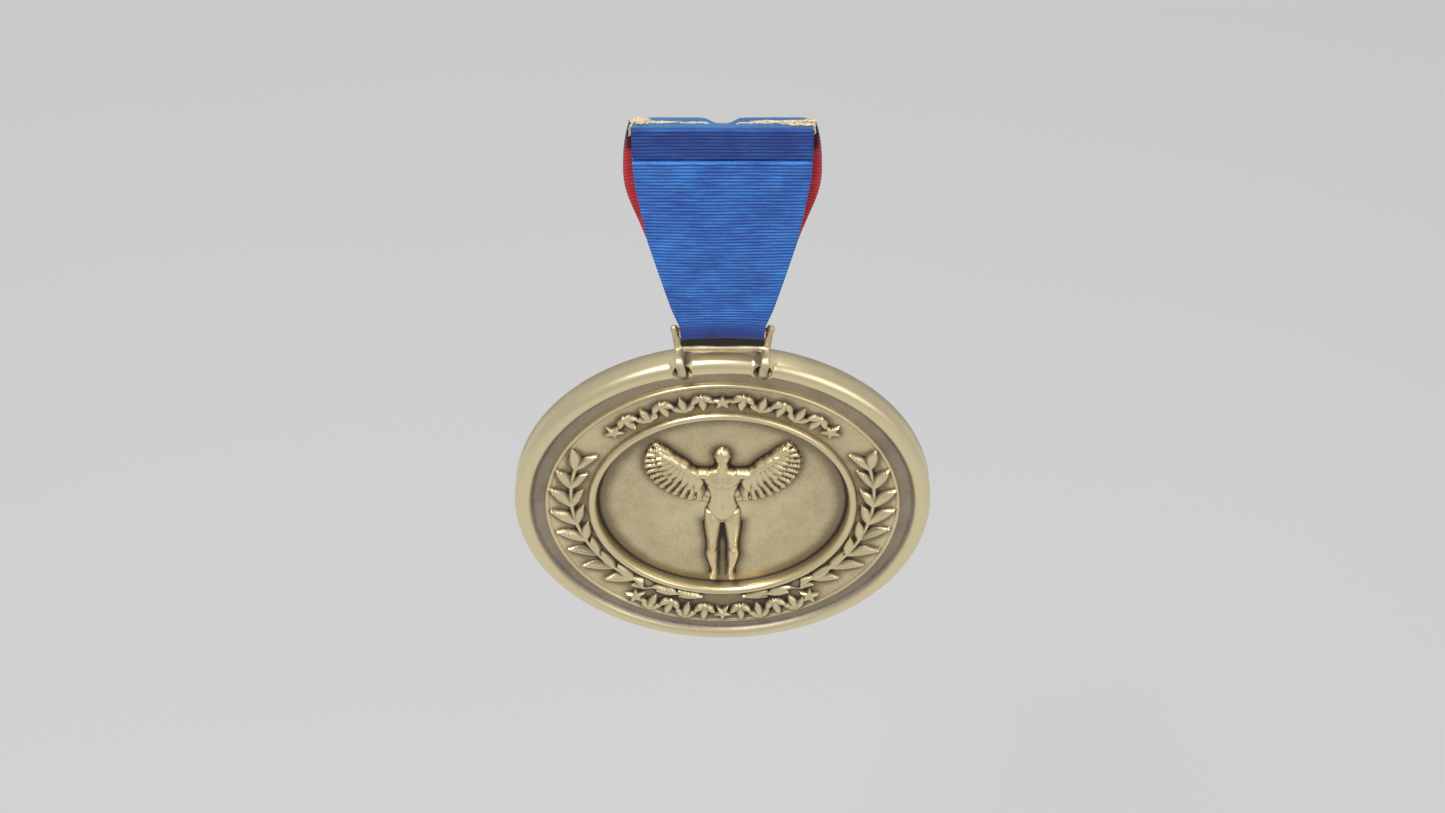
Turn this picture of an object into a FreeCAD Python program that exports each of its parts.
"""Sports finisher medal: a cast brass medal on a folded ribbon with a pin-back header.

Frame: front faces -Y, +Z is up, +X is to the right. The origin is where the garment pin runs,
midway along it. Lengths are millimetres and angles are degrees.
"""
import FreeCAD, Part
import math
import os

import Sketcher

V = FreeCAD.Vector
TOLERANCE = 1e-6

DIMENSIONS = {
    # Header: a brass bar wrapped in buckram and in the ribbon's blue cuff.
    "header_half_width": 14.0,
    "header_front": -5.5,
    "header_back": -2.5,
    "header_top": 4.5,
    "header_bottom": -1.8,
    "header_height": 1.35,
    "header_rounding": 0.7,
    "cuff_wall": 0.45,
    "buckram_wall": 0.35,
    "buckram_recess": 0.2,
    "bar_half_width": 13.2,
    "plate_half_width": 12.4,
    "plate_bottom": -1.25,
    "plate_top": 2.5,
    "plate_wall": 0.7,
    "rivet_spread": 5.0,
    "rivet_radius": 0.5,
    "rivet_head_radius": 0.95,
    "rivet_head_height": 0.3,
    # Garment pin, its hinge and its safety catch, on the back of the header.
    "hinge_offset": 10.2,
    "stem_radius": 0.42,
    "stem_reach": 11.9,
    "stem_point_length": 2.2,
    "stem_point_radius": 0.05,
    "eye_radius": 0.85,
    "eye_half_height": 0.5,
    "hinge_hole_radius": 0.39,
    "hinge_rivet_radius": 0.34,
    "hinge_head_radius": 0.6,
    "hinge_head_height": 0.18,
    "lug_gap": 0.1,
    "lug_wall": 0.45,
    "lug_half_width": 0.95,
    "catch_offset": -9.4,
    "catch_half_length": 1.1,
    "catch_outer_radius": 1.3,
    "catch_bore_radius": 0.99,
    "catch_window_start": 0.45,
    "roller_outer_radius": 0.93,
    "roller_bore_radius": 0.56,
    "roller_slot_width": 1.0,
    "roller_tab_width": 0.3,
    "roller_tab_reach": 1.9,
    "roller_tab_angle": -42.0,
    "foot_half_height": 0.8,
    # Ribbon: a blue face and a red lining, folded round the hanger's top bar.
    "ribbon_middle": -4.0,
    "drop_gap": 1.8,
    "blue_wall": 0.45,
    "red_wall": 0.35,
    "loop_clearance": 0.05,
    "front_top_half_width": 14.0,
    "front_waist_half_width": 12.1,
    "front_neck_half_width": 8.5,
    "back_top_half_width": 15.4,
    "back_bulge_half_width": 15.6,
    "back_waist_half_width": 12.9,
    "back_neck_half_width": 8.7,
    "loop_half_width": 7.05,
    "bulge_drop": 5.2,
    "waist_drop": 14.6,
    "neck_drop": 29.5,
    "loop_lead": 2.0,
    "beyond_ribbon": 5.0,
    # Hanger: top bar, posts and crossbar in one frame, with an oblong link at each end.
    "top_bar_height": -39.4,
    "top_bar_radius": 0.8,
    "post_offset": 7.95,
    "post_radius": 0.65,
    "post_rise": 0.4,
    "crossbar_height": -43.6,
    "crossbar_radius": 0.7,
    "web_half_thickness": 0.2,
    "web_top_height": -41.4,
    "link_offset": 6.87,
    "link_half_wire": 0.5,
    "link_half_width": 0.7,
    "link_half_depth": 3.6,
    "link_corner": 0.9,
    "link_rounding": 0.3,
    # Medal: stepped frame, wreath plate, bezel ring, centre disc and engraving plate.
    "medal_middle": -4.0,
    "medal_height": -82.7,
    "medal_radius": 38.0,
    "rim_inner_radius": 35.0,
    "rim_half_depth": 2.6,
    "rim_rounding": 1.0,
    "channel_floor": -1.5,
    "seat_floor": -0.5,
    "pocket_floor": 0.4,
    "web_back": 1.7,
    "wreath_outer_radius": 32.4,
    "wreath_outer_top": -2.2,
    "wreath_inner_top": -1.15,
    "bezel_outer_radius": 24.7,
    "bezel_inner_radius": 23.3,
    "bezel_crest": -2.0,
    "bezel_rounding": 0.45,
    "field_edge": -0.2,
    "field_crown": -0.45,
    "relief_root": 0.1,
    "relief_crest": -2.1,
    "wreath_relief_root": -0.8,
    "wreath_relief_crest": -2.75,
    "engraving_radius": 34.2,
    "eyelet_height": 35.7,
    "eyelet_radius": 1.05,
    "eyelet_bevel": 0.4,
    "boss_radius": 2.0,
    "boss_half_depth": 2.2,
    # Laurel sprays, bands of ornament and the winged figure, raised on the plates.
    "laurel_root_angle": 163.0,
    "laurel_root_radius": 25.9,
    "laurel_middle_angle": 113.0,
    "laurel_middle_radius": 27.2,
    "laurel_tip_angle": 69.0,
    "laurel_tip_radius": 28.6,
    "laurel_stem_half_width": 0.35,
    "laurel_leaf_length": 5.2,
    "laurel_leaf_width": 1.9,
    "laurel_pairs": 8,
    "laurel_first_pair": 0.05,
    "laurel_last_leaf": 0.98,
    "lowest_leaf_inward": 4.0,
    "highest_leaf_inward": 30.0,
    "lowest_leaf_outward": 5.0,
    "highest_leaf_outward": 34.0,
    "upper_band_radius": 28.0,
    "upper_band_half_span": 43.0,
    "lower_band_radius": 29.6,
    "lower_band_half_span": 34.0,
    "sprig_half_height": 1.7,
    "sprig_leaf_width": 1.2,
    "sprig_side_length": 2.4,
    "sprig_side_angle": 40.0,
    "band_star_radius": 1.9,
    "band_star_waist": 0.8,
    "upper_band_count": 13,
    "lower_band_count": 11,
    "head_height": 12.5,
    "head_radius": 1.85,
    "feather_count": 7,
    "lowest_feather_angle": -100.0,
    "highest_feather_angle": -12.0,
    "feather_width": 2.5,
    "longest_feather": 7.2,
    "shortest_feather": 3.2,
}

doc = FreeCAD.newDocument("finisher_medal")
sheet = doc.addObject("Spreadsheet::Sheet", "Dimensions")
for row, (alias, value) in enumerate(DIMENSIONS.items(), 1):
    sheet.set(f"A{row}", alias)
    sheet.set(f"B{row}", str(value))
    sheet.setAlias(f"B{row}", alias)
doc.recompute()

AXIS_TURNS = {
    "X": FreeCAD.Rotation(V(0, 1, 0), 90),
    "Y": FreeCAD.Rotation(V(1, 0, 0), -90),
    "Z": FreeCAD.Rotation(),
}
SUBPARTS = []


def size(alias):
    """The number that a cell of the dimension sheet holds."""
    return float(sheet.get(alias))


def bound(text):
    """An expression over the sheet, from text that names its cells in plain words."""
    words = sorted(DIMENSIONS, key=len, reverse=True)
    marks = {}
    for number, word in enumerate(words):
        if word in text:
            mark = f"<{number}>"
            text = text.replace(word, mark)
            marks[mark] = f"Dimensions.{word}"
    for mark, word in marks.items():
        text = text.replace(mark, word)
    return text


def bind(thing, **properties):
    """Bind properties of an object to expressions over the sheet."""
    for name, text in properties.items():
        thing.setExpression(name, bound(text))


def place(thing, x="0", y="0", z="0"):
    """Bind an object's position, leaving its rotation alone."""
    for axis, text in zip("xyz", (x, y, z)):
        thing.setExpression(f"Placement.Base.{axis}", bound(text))


def subpart(thing, label):
    """Name a finished piece and put it on the list that is written out."""
    thing.Label = label
    SUBPARTS.append(thing)
    return thing


def block(name, low, high):
    """A box between two corners, each a triple of expressions."""
    piece = doc.addObject("Part::Box", name)
    for side, start, stop in zip(("Length", "Width", "Height"), low, high):
        bind(piece, **{side: f"({stop}) - ({start})"})
    place(piece, *low)
    return piece


def rod(name, axis, radius, start, length):
    """A cylinder along a row axis, from a start point given as expressions."""
    piece = doc.addObject("Part::Cylinder", name)
    piece.Placement = FreeCAD.Placement(V(), AXIS_TURNS[axis])
    bind(piece, Radius=radius, Height=length)
    place(piece, *start)
    return piece


def ball(name, radius, centre):
    piece = doc.addObject("Part::Sphere", name)
    bind(piece, Radius=radius)
    place(piece, *centre)
    return piece


def fused(name, pieces):
    joined = doc.addObject("Part::MultiFuse", name)
    joined.Shapes = pieces
    return joined


def without(name, base, tool):
    cut = doc.addObject("Part::Cut", name)
    cut.Base = base
    cut.Tool = tool
    return cut


def polygon(body, role, points):
    """A closed sketch on one of the body's origin planes, every corner bound to the sheet."""
    sketch = body.newObject("Sketcher::SketchObject", f"{body.Name}_outline")
    plane = next(feature for feature in body.Origin.OriginFeatures if feature.Role == role)
    sketch.AttachmentSupport = (plane, [""])
    sketch.MapMode = "FlatFace"
    corners = [[float(sketch.evalExpression(bound(text))) for text in point] for point in points]
    count = len(corners)
    for index in range(count):
        start = V(*corners[index], 0)
        end = V(*corners[(index + 1) % count], 0)
        sketch.addGeometry(Part.LineSegment(start, end))
    for index in range(count):
        sketch.addConstraint(Sketcher.Constraint("Coincident", index, 2, (index + 1) % count, 1))
    for index, point in enumerate(points):
        for kind, text, value in zip(("DistanceX", "DistanceY"), point, corners[index]):
            number = sketch.addConstraint(Sketcher.Constraint(kind, -1, 1, index, 1, value))
            sketch.setExpression(f"Constraints[{number}]", bound(text))
    return sketch


def circle_sketch(body, role, x, y, radius):
    """A sketch with one bound circle."""
    sketch = body.newObject("Sketcher::SketchObject", f"{body.Name}_circle")
    plane = next(feature for feature in body.Origin.OriginFeatures if feature.Role == role)
    sketch.AttachmentSupport = (plane, [""])
    sketch.MapMode = "FlatFace"
    centre = [float(sketch.evalExpression(bound(text))) for text in (x, y)]
    width = float(sketch.evalExpression(bound(radius)))
    sketch.addGeometry(Part.Circle(V(*centre, 0), V(0, 0, 1), width))
    for kind, text, value in (("DistanceX", x, centre[0]), ("DistanceY", y, centre[1])):
        number = sketch.addConstraint(Sketcher.Constraint(kind, -1, 1, 0, 3, value))
        sketch.setExpression(f"Constraints[{number}]", bound(text))
    number = sketch.addConstraint(Sketcher.Constraint("Radius", 0, width))
    sketch.setExpression(f"Constraints[{number}]", bound(radius))
    return sketch


def revolved(name, points):
    """A body turned about its own Y axis; each point is (radius, depth)."""
    body = doc.addObject("PartDesign::Body", name)
    turn = body.newObject("PartDesign::Revolution", f"{name}_turn")
    turn.Profile = polygon(body, "XY_Plane", points)
    turn.ReferenceAxis = (turn.Profile[0], ["V_Axis"])
    turn.Angle = 360
    body.Tip = turn
    doc.recompute()
    return body


def padded(name, role, points, thickness):
    """A body padded by half its thickness each side of an origin plane."""
    body = doc.addObject("PartDesign::Body", name)
    pad = body.newObject("PartDesign::Pad", f"{name}_pad")
    pad.Profile = polygon(body, role, points)
    pad.SideType = "Symmetric"
    bind(pad, Length=thickness)
    body.Tip = pad
    doc.recompute()
    return body


def add_pad(body, sketch, thickness):
    pad = body.newObject("PartDesign::Pad", f"{body.Name}_boss")
    pad.Profile = sketch
    pad.SideType = "Symmetric"
    bind(pad, Length=thickness)
    body.Tip = pad
    doc.recompute()


def add_pocket(body, sketch, thickness):
    """Cut a sketch through the body, both ways from its plane, and check that it cut."""
    before = body.Shape.Volume
    pocket = body.newObject("PartDesign::Pocket", f"{body.Name}_pocket")
    pocket.Profile = sketch
    pocket.SideType = "Symmetric"
    bind(pocket, Length=thickness)
    body.Tip = pocket
    doc.recompute()
    assert body.Shape.Volume < before, f"{pocket.Name} cut nothing"


def soften(body, kind, chosen, amount):
    """Fillet or chamfer the edges that a test picks out."""
    names = [f"Edge{number}" for number, edge in enumerate(body.Shape.Edges, 1) if chosen(edge)]
    solid = body.Tip
    feature = body.newObject(f"PartDesign::{kind}", f"{body.Name}_{kind.lower()}")
    feature.Base = (solid, names)
    bind(feature, **{"Radius" if kind == "Fillet" else "Size": amount})
    body.Tip = feature
    doc.recompute()


def runs_along(edge, axis):
    """True for a straight edge along X, Y or Z."""
    if not isinstance(edge.Curve, Part.Line):
        return False
    return abs(abs(getattr(edge.Curve.Direction, axis)) - 1) < TOLERANCE


def mirrored(right_side):
    """A closed outline from the corners of its right side, listed from top to bottom."""
    left_side = [(f"-({x})", z) for x, z in reversed(right_side)]
    return right_side + left_side


# ---- header -------------------------------------------------------------------------------------

def cuff_corners(inset):
    """Corners in Y and Z of the header's section, moved in by an expression."""
    front, back = f"header_front + {inset}", f"header_back - ({inset})"
    bottom, top = f"header_bottom + {inset}", f"header_top - ({inset})"
    return [(front, bottom), (back, bottom), (back, top), (front, top)]


def header_sleeve(name, outer, inner, half_width):
    """A closed sleeve along X between two insets of the header's section."""
    body = padded(name, "YZ_Plane", cuff_corners(outer), f"2 * {half_width}")
    soften(body, "Fillet", lambda edge: runs_along(edge, "x"), f"header_rounding - ({outer}) / 2")
    add_pocket(body, polygon(body, "YZ_Plane", cuff_corners(inner)), f"3 * {half_width}")
    return body


def rivet_shafts(name, radius):
    """The two shafts that run from the bar through to the back of the plate."""
    shafts = []
    for side, sign in (("left", "-"), ("right", "")):
        start = (f"{sign}rivet_spread", "header_back - cuff_wall - buckram_wall", "header_height")
        length = "cuff_wall + buckram_wall + plate_wall"
        shafts.append(rod(f"{name}_{side}", "Y", radius, start, length))
    return shafts


def build_header():
    walls = "(cuff_wall + buckram_wall)"
    bar = block("header_bar", ("-bar_half_width", f"header_front + {walls}", f"header_bottom + {walls}"),
                ("bar_half_width", f"header_back - {walls}", f"header_top - {walls}"))
    subpart(bar, "header_bar")
    buckram = header_sleeve("buckram_sleeve", "cuff_wall", walls, "(header_half_width - buckram_recess)")
    cuff = header_sleeve("cuff_sleeve", "0", "cuff_wall", "header_half_width")
    plate = block("plate_blank", ("-plate_half_width", "header_back", "plate_bottom"),
                  ("plate_half_width", "header_back + plate_wall", "plate_top"))
    for label, blank in (("header_buckram", buckram), ("header_cuff", cuff), ("brooch_plate", plate)):
        holes = fused(f"{label}_holes", rivet_shafts(f"{label}_hole", "rivet_radius"))
        subpart(without(label, blank, holes), label)
    rivets = rivet_shafts("rivet_shaft", "rivet_radius")
    for side, sign in (("left", "-"), ("right", "")):
        start = (f"{sign}rivet_spread", "header_back + plate_wall", "header_height")
        rivets.append(rod(f"rivet_head_{side}", "Y", "rivet_head_radius", start, "rivet_head_height"))
    subpart(fused("brooch_rivets", rivets), "brooch_rivets")


# ---- garment pin --------------------------------------------------------------------------------

PLATE_FACE = "header_back + plate_wall"


def build_pin_hinge():
    lugs = []
    for side, sign in (("upper", "+"), ("lower", "-")):
        inner = f"{sign}(eye_half_height + lug_gap)"
        outer = f"{sign}(eye_half_height + lug_gap + lug_wall)"
        low, high = (inner, outer) if side == "upper" else (outer, inner)
        lugs.append(block(f"lug_{side}", ("hinge_offset - lug_half_width", PLATE_FACE, low),
                          ("hinge_offset + lug_half_width", "0", high)))
        lugs.append(rod(f"lug_nose_{side}", "Z", "lug_half_width", ("hinge_offset", "0", low), "lug_wall"))
    reach = "(eye_half_height + lug_gap + lug_wall)"
    start = ("hinge_offset", "0", f"-{reach}")
    bore = rod("hinge_bore", "Z", "hinge_rivet_radius", start, f"2 * {reach}")
    subpart(without("pin_hinge", fused("hinge_lugs", lugs), bore), "pin_hinge")
    shaft = rod("hinge_shaft", "Z", "hinge_rivet_radius", start, f"2 * {reach}")
    heads = [rod("hinge_head_upper", "Z", "hinge_head_radius", ("hinge_offset", "0", reach),
                 "hinge_head_height"),
             rod("hinge_head_lower", "Z", "hinge_head_radius",
                 ("hinge_offset", "0", f"-{reach} - hinge_head_height"), "hinge_head_height")]
    subpart(fused("hinge_rivet", [shaft] + heads), "hinge_rivet")


def build_pin_stem():
    eye_bottom = ("hinge_offset", "0", "-eye_half_height")
    eye = rod("pin_eye", "Z", "eye_radius", eye_bottom, "2 * eye_half_height")
    tip_start = "-stem_reach + stem_point_length"
    shaft = rod("pin_shaft", "X", "stem_radius", (tip_start, "0", "0"), f"hinge_offset - ({tip_start})")
    tip = doc.addObject("Part::Cone", "pin_tip")
    tip.Placement = FreeCAD.Placement(V(), AXIS_TURNS["X"])
    bind(tip, Radius1="stem_point_radius", Radius2="stem_radius", Height="stem_point_length")
    place(tip, "-stem_reach")
    hole = rod("pin_eye_hole", "Z", "hinge_hole_radius",
               ("hinge_offset", "0", "-2 * eye_half_height"), "4 * eye_half_height")
    subpart(without("pin_stem", fused("pin_blank", [eye, shaft, tip]), hole), "pin_stem")


def build_catch():
    start = ("catch_offset - catch_half_length", "0", "0")
    length = "2 * catch_half_length"
    barrel = rod("catch_barrel", "X", "catch_outer_radius", start, length)
    foot = block("catch_foot", ("catch_offset - catch_half_length", PLATE_FACE, "-foot_half_height"),
                 ("catch_offset + catch_half_length", "0", "foot_half_height"))
    bore = rod("catch_bore", "X", "catch_bore_radius", start, length)
    beyond = "2 * catch_outer_radius"
    window = block("catch_window", ("catch_offset - catch_half_length", "catch_window_start", f"-{beyond}"),
                   ("catch_offset + catch_half_length", beyond, beyond))
    housing = without("catch_housing_blank", fused("catch_solid", [barrel, foot]),
                      fused("catch_opening", [bore, window]))
    subpart(housing, "catch_housing")
    tube = rod("roller_tube", "X", "roller_outer_radius", start, length)
    tab = block("roller_tab", ("catch_offset - catch_half_length", "0", "-roller_tab_width / 2"),
                ("catch_offset + catch_half_length", "roller_tab_reach", "roller_tab_width / 2"))
    root = rod("roller_tab_root", "X", "roller_outer_radius", start, length)
    tab_turned = fused("roller_tab_turned", [tab, root])
    tab_turned.Placement = FreeCAD.Placement(V(), FreeCAD.Rotation(V(1, 0, 0), size("roller_tab_angle")))
    slot = block("roller_slot", ("catch_offset - 2 * catch_half_length", "0", "-roller_slot_width / 2"),
                 ("catch_offset + 2 * catch_half_length", "roller_tab_reach", "roller_slot_width / 2"))
    core = rod("roller_bore", "X", "roller_bore_radius", start, length)
    solid = fused("roller_solid", [tube, tab_turned])
    subpart(without("catch_roller", solid, fused("roller_void", [slot, core])), "catch_roller")


# ---- ribbon -------------------------------------------------------------------------------------

DROP_TOP = "header_bottom - drop_gap"
FRONT_HALF_WIDTHS = [("front_top_half_width", DROP_TOP),
                     ("front_top_half_width", f"{DROP_TOP} - bulge_drop / 2"),
                     ("front_waist_half_width", f"{DROP_TOP} - waist_drop"),
                     ("front_neck_half_width", f"{DROP_TOP} - neck_drop"),
                     ("loop_half_width", "top_bar_height + loop_lead"),
                     ("loop_half_width", "top_bar_height")]
BACK_HALF_WIDTHS = [("back_top_half_width", DROP_TOP),
                    ("back_bulge_half_width", f"{DROP_TOP} - bulge_drop / 2"),
                    ("back_bulge_half_width", f"{DROP_TOP} - bulge_drop"),
                    ("back_waist_half_width", f"{DROP_TOP} - waist_drop"),
                    ("back_neck_half_width", f"{DROP_TOP} - neck_drop"),
                    ("loop_half_width", "top_bar_height + loop_lead"),
                    ("loop_half_width", "top_bar_height")]


def build_ribbon_ply(label, inner, wall):
    """One ply: a front leaf, a back leaf, and the half turn that joins them under the top bar."""
    leaves = []
    for side, outline, sign in (("front", FRONT_HALF_WIDTHS, "-"), ("back", BACK_HALF_WIDTHS, "+")):
        leaf = padded(f"{label}_{side}", "XZ_Plane", mirrored(outline), wall)
        place(leaf, "0", f"ribbon_middle {sign} ({inner} + {wall} / 2)")
        leaves.append(leaf)
    start = ("-loop_half_width", "ribbon_middle", "top_bar_height")
    length = "2 * loop_half_width"
    turn = rod(f"{label}_turn", "X", f"{inner} + {wall}", start, length)
    core = rod(f"{label}_core", "X", inner, start, length)
    above = block(f"{label}_above",
                  ("-2 * loop_half_width", "ribbon_middle - beyond_ribbon", "top_bar_height"),
                  ("2 * loop_half_width", "ribbon_middle + beyond_ribbon",
                   "top_bar_height + beyond_ribbon"))
    half_turn = without(f"{label}_half_turn", turn, fused(f"{label}_waste", [core, above]))
    subpart(fused(label, leaves + [half_turn]), label)


def build_ribbon():
    lining_inner = "(top_bar_radius + loop_clearance)"
    build_ribbon_ply("ribbon_red_lining", lining_inner, "red_wall")
    build_ribbon_ply("ribbon_blue_face", f"({lining_inner} + red_wall)", "blue_wall")


# ---- hanger -------------------------------------------------------------------------------------

def build_hanger():
    middle = "ribbon_middle"
    bars = [rod("top_bar", "X", "top_bar_radius", ("-post_offset", middle, "top_bar_height"),
                "2 * post_offset"),
            rod("crossbar", "X", "crossbar_radius", ("-post_offset", middle, "crossbar_height"),
                "2 * post_offset")]
    bars.append(block("hanger_web", ("-post_offset", f"{middle} - web_half_thickness", "crossbar_height"),
                      ("post_offset", f"{middle} + web_half_thickness", "web_top_height")))
    for side, sign in (("left", "-"), ("right", "")):
        offset = f"{sign}post_offset"
        bars.append(rod(f"post_{side}", "Z", "post_radius", (offset, middle, "crossbar_height"),
                        "top_bar_height + post_rise - (crossbar_height)"))
        bars.append(ball(f"post_top_{side}", "post_radius", (offset, middle, "top_bar_height + post_rise")))
        bars.append(ball(f"post_foot_{side}", "crossbar_radius", (offset, middle, "crossbar_height")))
    subpart(fused("hanger_frame", bars), "hanger_frame")


def link_corners(grow):
    """Corners in Y and Z of an oblong link, moved out from its wire's centre line."""
    front, back = f"-(link_half_depth + {grow})", f"link_half_depth + {grow}"
    bottom, top = f"medal_height + eyelet_height - ({grow})", f"crossbar_height + {grow}"
    return [(front, bottom), (back, bottom), (back, top), (front, top)]


def build_link(label, sign):
    body = padded(f"{label}_blank", "YZ_Plane", link_corners("link_half_wire"), "2 * link_half_width")
    soften(body, "Fillet", lambda edge: runs_along(edge, "x"), "link_corner")
    add_pocket(body, polygon(body, "YZ_Plane", link_corners("-link_half_wire")), "4 * link_half_width")
    soften(body, "Fillet", lambda edge: not runs_along(edge, "x"), "link_rounding")
    place(body, f"{sign}link_offset", "medal_middle")
    start = ("-post_offset", "ribbon_middle", "crossbar_height")
    crossbar = rod(f"{label}_seat", "X", "crossbar_radius", start, "2 * post_offset")
    subpart(without(label, body, crossbar), label)


# ---- medal --------------------------------------------------------------------------------------

def at_medal(thing):
    place(thing, "0", "medal_middle", "medal_height")
    return thing


def build_medal_frame():
    frame = revolved("medal_frame", [
        ("0", "pocket_floor"), ("bezel_outer_radius", "pocket_floor"),
        ("bezel_outer_radius", "seat_floor"), ("wreath_outer_radius", "seat_floor"),
        ("wreath_outer_radius", "channel_floor"), ("rim_inner_radius", "channel_floor"),
        ("rim_inner_radius", "-rim_half_depth"), ("medal_radius", "-rim_half_depth"),
        ("medal_radius", "rim_half_depth"), ("rim_inner_radius", "rim_half_depth"),
        ("rim_inner_radius", "web_back"), ("0", "web_back")])

    def on_rim(edge):
        """The two front edges of the rim and its outer back edge."""
        box = edge.BoundBox
        flat = box.YLength < TOLERANCE
        at_front = abs(box.YMin + size("rim_half_depth")) < TOLERANCE
        at_back = abs(box.YMax - size("rim_half_depth")) < TOLERANCE
        outermost = abs(box.XMax - size("medal_radius")) < TOLERANCE
        return flat and (at_front or (at_back and outermost))

    soften(frame, "Fillet", on_rim, "rim_rounding")
    for x in ("-link_offset", "link_offset"):
        add_pad(frame, circle_sketch(frame, "XZ_Plane", x, "eyelet_height", "boss_radius"),
                "2 * boss_half_depth")
    for x in ("-link_offset", "link_offset"):
        add_pocket(frame, circle_sketch(frame, "XZ_Plane", x, "eyelet_height", "eyelet_radius"),
                   "4 * rim_half_depth")
    subpart(at_medal(frame), "medal_frame")


def build_wreath_plate():
    plate = revolved("wreath_plate", [
        ("bezel_outer_radius", "seat_floor"), ("wreath_outer_radius", "seat_floor"),
        ("wreath_outer_radius", "wreath_outer_top"), ("bezel_outer_radius", "wreath_inner_top")])
    return subpart(at_medal(plate), "wreath_plate")


def build_bezel_ring():
    ring = revolved("bezel_ring", [
        ("bezel_inner_radius", "pocket_floor"), ("bezel_outer_radius", "pocket_floor"),
        ("bezel_outer_radius", "bezel_crest"), ("bezel_inner_radius", "bezel_crest")])
    crest = size("bezel_crest") + TOLERANCE
    soften(ring, "Fillet", lambda edge: edge.BoundBox.YMax < crest, "bezel_rounding")
    return subpart(at_medal(ring), "bezel_ring")


def build_centre_disc():
    disc = revolved("centre_disc", [
        ("0", "pocket_floor"), ("bezel_inner_radius", "pocket_floor"),
        ("bezel_inner_radius", "field_edge"), ("0", "field_crown")])
    return subpart(at_medal(disc), "centre_disc")


def build_engraving_plate():
    plate = revolved("engraving_plate", [
        ("0", "web_back"), ("engraving_radius", "web_back"),
        ("engraving_radius", "rim_half_depth"), ("0", "rim_half_depth")])
    return subpart(at_medal(plate), "engraving_plate")


def lens(length, width):
    """A leaf-shaped face in XZ from the origin along +X, between two arcs."""
    root, tip = V(0, 0, 0), V(length, 0, 0)
    upper = Part.Arc(root, V(length / 2, 0, width / 2), tip).toShape()
    lower = Part.Arc(tip, V(length / 2, 0, -width / 2), root).toShape()
    return Part.Face(Part.Wire([upper, lower]))


def bar_face(start, end, half_start, half_end):
    """A tapered bar with rounded ends, between two points in XZ."""
    run = end - start
    run.normalize()
    side = V(-run.z, 0, run.x)
    corners = [start + side * half_start, end + side * half_end,
               end - side * half_end, start - side * half_start]
    far = Part.Arc(corners[1], end + run * half_end, corners[2]).toShape()
    near = Part.Arc(corners[3], start - run * half_start, corners[0]).toShape()
    sides = [Part.LineSegment(corners[0], corners[1]).toShape(), far,
             Part.LineSegment(corners[2], corners[3]).toShape(), near]
    return Part.Face(Part.Wire(sides))


def turned(shape, angle, at):
    """A copy turned in the plane of the medal, angle from +X towards +Z, then moved."""
    return shape.transformed(FreeCAD.Placement(at, FreeCAD.Rotation(V(0, 1, 0), -angle)).toMatrix(), True)


def polar(angle, radius):
    """A point in the plane of the medal, at an angle from the top towards +X."""
    return V(radius * math.sin(math.radians(angle)), 0, radius * math.cos(math.radians(angle)))


def relief(label, faces, root, crest, seat):
    """Raise faces from a root depth inside a seat to a crest, and trim them to the seat's surface."""
    solids = [face.extrude(V(0, size(root) - size(crest), 0)) for face in faces]
    shape = solids[0].multiFuse(solids[1:]) if len(solids) > 1 else solids[0]
    shape = shape.transformed(FreeCAD.Placement(V(0, size(crest), 0), FreeCAD.Rotation()).toMatrix(), True)
    shape = shape.cut(seat)
    feature = doc.addObject("Part::Feature", label)
    feature.Shape = shape.removeSplitter()
    centre = V(0, size("medal_middle"), size("medal_height"))
    feature.Placement = FreeCAD.Placement(centre, FreeCAD.Rotation())
    return subpart(feature, label)


def in_medal_frame(piece):
    """A piece's shape with the medal's centre as origin."""
    shape = piece.Shape.copy()
    shape.Placement = FreeCAD.Placement()
    return shape


def between(first, last, share):
    """A value part of the way from one dimension to another."""
    return size(first) + (size(last) - size(first)) * share


def laurel_faces(side):
    """A curved stem with pairs of leaves and one leaf at its tip; side is 1 or -1."""
    centre = [polar(side * size(f"laurel_{part}_angle"), size(f"laurel_{part}_radius"))
              for part in ("root", "middle", "tip")]
    stem = Part.Arc(*centre).toShape()
    half = size("laurel_stem_half_width")
    outer = Part.Arc(*[point * (1 + half / point.Length) for point in centre]).toShape()
    inner = Part.Arc(*[point * (1 - half / point.Length) for point in reversed(centre)]).toShape()
    tip_end = Part.LineSegment(outer.Vertexes[1].Point, inner.Vertexes[0].Point).toShape()
    root_end = Part.LineSegment(inner.Vertexes[1].Point, outer.Vertexes[0].Point).toShape()
    faces = [Part.Face(Part.Wire([outer, tip_end, inner, root_end]))]
    leaf = lens(size("laurel_leaf_length"), size("laurel_leaf_width"))
    pairs = int(size("laurel_pairs"))
    for number in range(pairs + 1):
        share = number / pairs
        travel = between("laurel_first_pair", "laurel_last_leaf", share)
        along = stem.FirstParameter + (stem.LastParameter - stem.FirstParameter) * travel
        heading = stem.tangentAt(along)
        angle = math.degrees(math.atan2(heading.z, heading.x))
        inward = side * between("lowest_leaf_inward", "highest_leaf_inward", share)
        outward = -side * between("lowest_leaf_outward", "highest_leaf_outward", share)
        spreads = (0,) if number == pairs else (inward, outward)
        for spread in spreads:
            faces.append(turned(leaf, angle + spread, stem.valueAt(along)))
    return faces


def star_face(angle, at):
    """A five-pointed star with one point outwards."""
    corners = 10
    reaches = (size("band_star_radius"), size("band_star_waist"))
    points = [polar(angle + 360 * corner / corners, reaches[corner % 2]) + at for corner in range(corners)]
    return Part.Face(Part.makePolygon(points + points[:1]))


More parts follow.
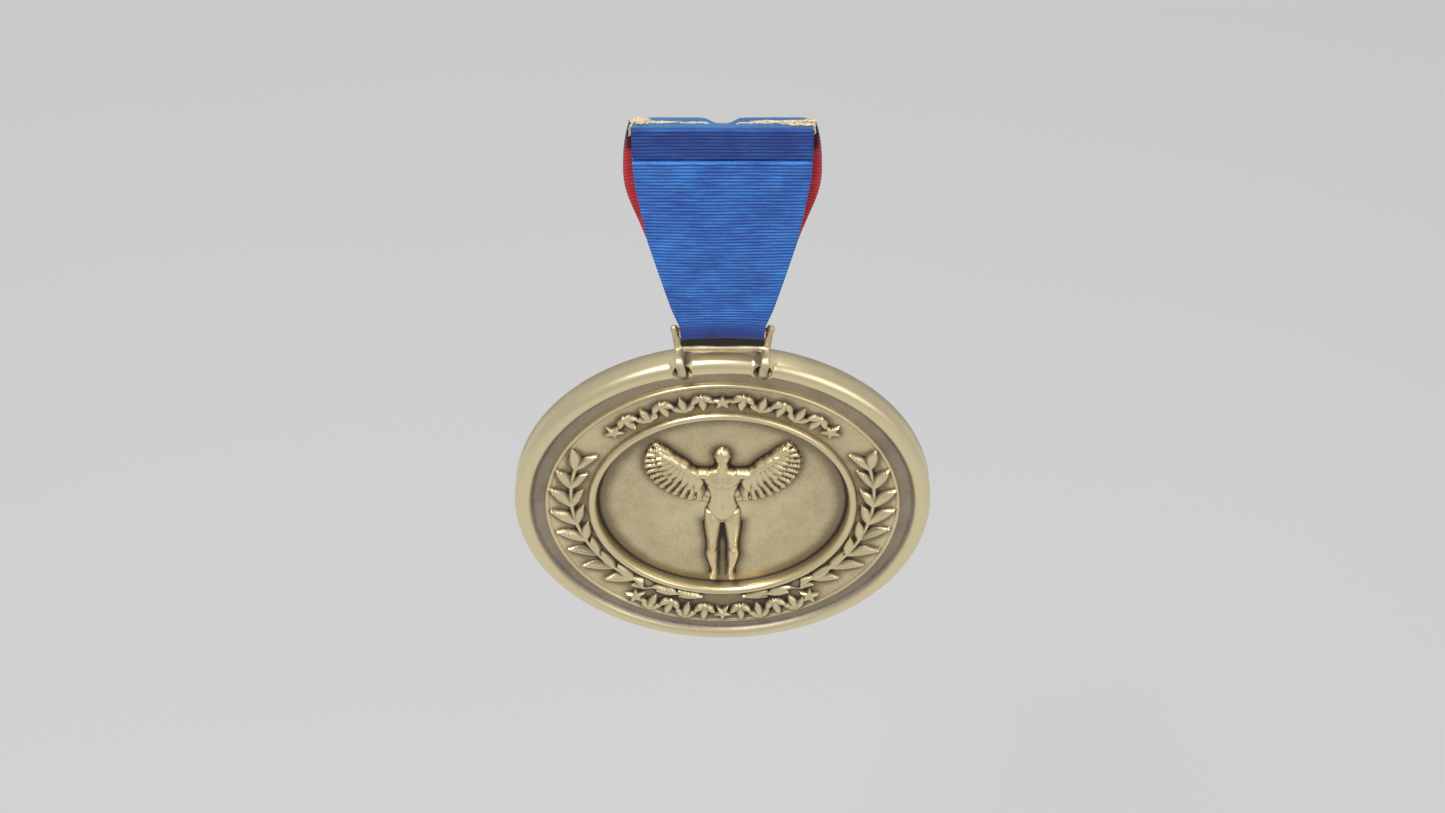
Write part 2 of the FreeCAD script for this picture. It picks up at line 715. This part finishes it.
def sprig_faces(angle, radius, outwards):
    """Three leaves that spread from one root, pointing out from the medal's centre or in towards it."""
    reach = size("sprig_half_height") * (1 if outwards else -1)
    root = polar(angle, radius - reach)
    heading = 90 - angle + (0 if outwards else 180)
    middle = lens(2 * size("sprig_half_height"), size("sprig_leaf_width"))
    side = lens(size("sprig_side_length"), size("sprig_leaf_width"))
    spread = size("sprig_side_angle")
    return [turned(middle, heading, root), turned(side, heading + spread, root),
            turned(side, heading - spread, root)]


def band_faces(band, middle_angle):
    """Sprigs along an arc that point outwards and inwards in turn, with stars in three places."""
    radius, half_span = size(f"{band}_band_radius"), size(f"{band}_band_half_span")
    count = int(size(f"{band}_band_count"))
    faces = []
    for number in range(count):
        angle = middle_angle - half_span + 2 * half_span * number / (count - 1)
        if number in (0, count // 2, count - 1):
            faces.append(star_face(angle, polar(angle, radius)))
        else:
            faces += sprig_faces(angle, radius, number % 2 == 0)
    return faces


# The athlete, from joint to joint: X and Z of a bar's ends, then its half width at each end. The
# trunk lies on the middle line. The limbs are the right-hand ones and are repeated on the left.
FIGURE_TRUNK = {
    "neck": ((0.0, 11.0), (0.0, 9.0), 1.0, 1.3),
    "chest": ((0.0, 8.0), (0.0, 2.0), 3.3, 2.2),
    "hips": ((0.0, 1.6), (0.0, -2.6), 2.2, 2.6),
}
FIGURE_LIMBS = {
    "shoulder_and_arm": ((2.6, 8.8), (6.9, 9.3), 1.1, 0.9),
    "leading_edge_of_wing": ((6.9, 9.3), (10.5, 13.0), 1.2, 1.3),
    "thigh": ((1.6, -2.6), (2.0, -11.0), 1.9, 1.2),
    "shin": ((2.0, -11.0), (1.5, -18.6), 1.25, 0.75),
    "foot": ((1.5, -19.0), (2.1, -20.6), 0.8, 0.9),
}
LOWEST_FEATHER_ROOT = V(5.2, 0, 8.4)
HIGHEST_FEATHER_ROOT = V(10.2, 0, 12.3)


def figure_bar(bar, side):
    """A bar of the athlete on one side, 1 or -1."""
    start, end, half_start, half_end = bar
    return bar_face(V(side * start[0], 0, start[1]), V(side * end[0], 0, end[1]), half_start, half_end)


def figure_faces():
    """A standing athlete with raised wings for arms, as limbs of tapered bars and fanned feathers."""
    head = Part.makeCircle(size("head_radius"), V(0, 0, size("head_height")), V(0, 1, 0))
    faces = [Part.Face(Part.Wire(head))]
    faces += [figure_bar(bar, 1) for bar in FIGURE_TRUNK.values()]
    feathers = int(size("feather_count"))
    for side in (-1, 1):
        faces += [figure_bar(bar, side) for bar in FIGURE_LIMBS.values()]
        for number in range(feathers):
            share = number / (feathers - 1)
            root = LOWEST_FEATHER_ROOT + (HIGHEST_FEATHER_ROOT - LOWEST_FEATHER_ROOT) * share
            turn = between("lowest_feather_angle", "highest_feather_angle", share)
            feather = lens(between("longest_feather", "shortest_feather", share), size("feather_width"))
            angle = turn if side > 0 else 180 - turn
            faces.append(turned(feather, angle, V(side * root.x, 0, root.z)))
    return faces


def build_medal():
    build_medal_frame()
    plate = build_wreath_plate()
    build_bezel_ring()
    disc = build_centre_disc()
    build_engraving_plate()
    doc.recompute()
    on_plate = ("wreath_relief_root", "wreath_relief_crest", in_medal_frame(plate))
    relief("laurel_left", laurel_faces(-1), *on_plate)
    relief("laurel_right", laurel_faces(1), *on_plate)
    relief("upper_band", band_faces("upper", 0), *on_plate)
    relief("lower_band", band_faces("lower", 180), *on_plate)
    relief("winged_figure", figure_faces(), "relief_root", "relief_crest", in_medal_frame(disc))


def write_parts():
    """Check every object and every piece, then write one STEP file for each piece."""
    doc.recompute()
    for thing in doc.Objects:
        faults = [state for state in thing.State if state in ("Invalid", "Error")]
        assert not faults, f"{thing.Name}: {faults}"
    for piece in SUBPARTS:
        assert not piece.Shape.isNull() and piece.Shape.isValid(), f"{piece.Label} has no valid shape"
    os.makedirs("parts", exist_ok=True)
    for piece in SUBPARTS:
        piece.Shape.exportStep(f"parts/{piece.Label}.step")
        box = piece.Shape.BoundBox
        print(f"{piece.Label:18} solids {len(piece.Shape.Solids):2d}  volume {piece.Shape.Volume:9.2f}  "
              f"x {box.XMin:7.2f} {box.XMax:7.2f}  y {box.YMin:6.2f} {box.YMax:6.2f}  "
              f"z {box.ZMin:7.2f} {box.ZMax:7.2f}")


build_header()
build_pin_hinge()
build_pin_stem()
build_catch()
build_ribbon()
build_hanger()
build_link("hanger_link_left", "-")
build_link("hanger_link_right", "")
build_medal()
write_parts()
